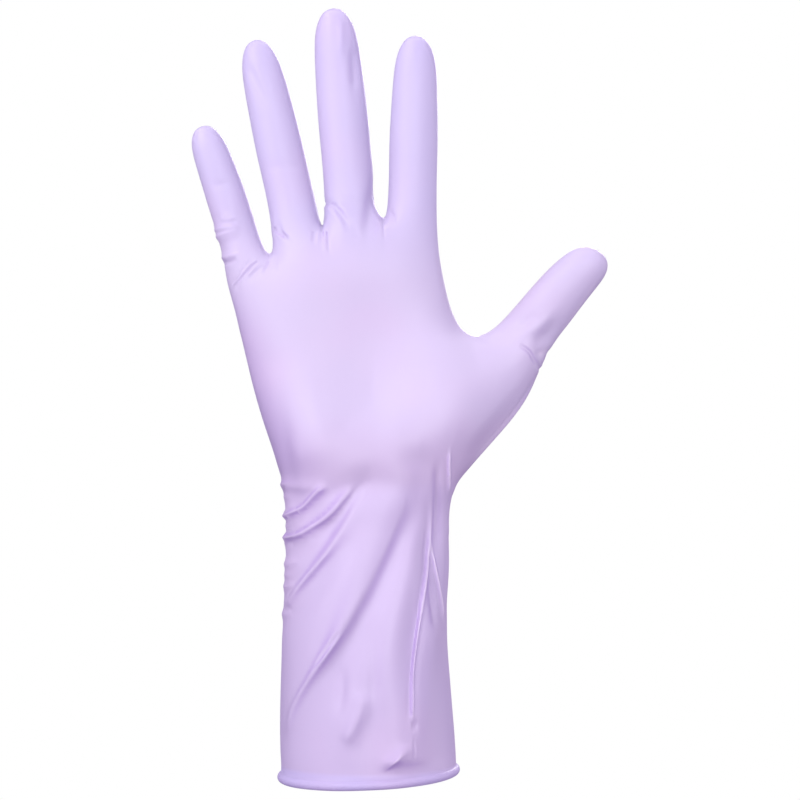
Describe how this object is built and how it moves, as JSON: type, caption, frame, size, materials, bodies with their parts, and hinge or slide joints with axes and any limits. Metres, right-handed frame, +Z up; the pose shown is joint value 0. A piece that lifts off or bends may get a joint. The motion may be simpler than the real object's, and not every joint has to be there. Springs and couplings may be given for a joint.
{
  "type": "nitrile exam glove",
  "caption": "Long-cuffed nitrile exam glove for the right hand, held in its worn shape, with a rolled bead at the open cuff.",
  "frame": {"origin": "centre of the cuff's open mouth, at the height of its rolled bead", "axes": "+Z up the forearm to the fingertips, -Y out of the palm, +X towards the thumb"},
  "size_m": [0.1602, 0.0637, 0.2999],
  "materials": {
    "nitrile": "satin lavender film"
  },
  "bodies": {
    "root": {"glove": "nitrile"}
  },
  "joints": []
}
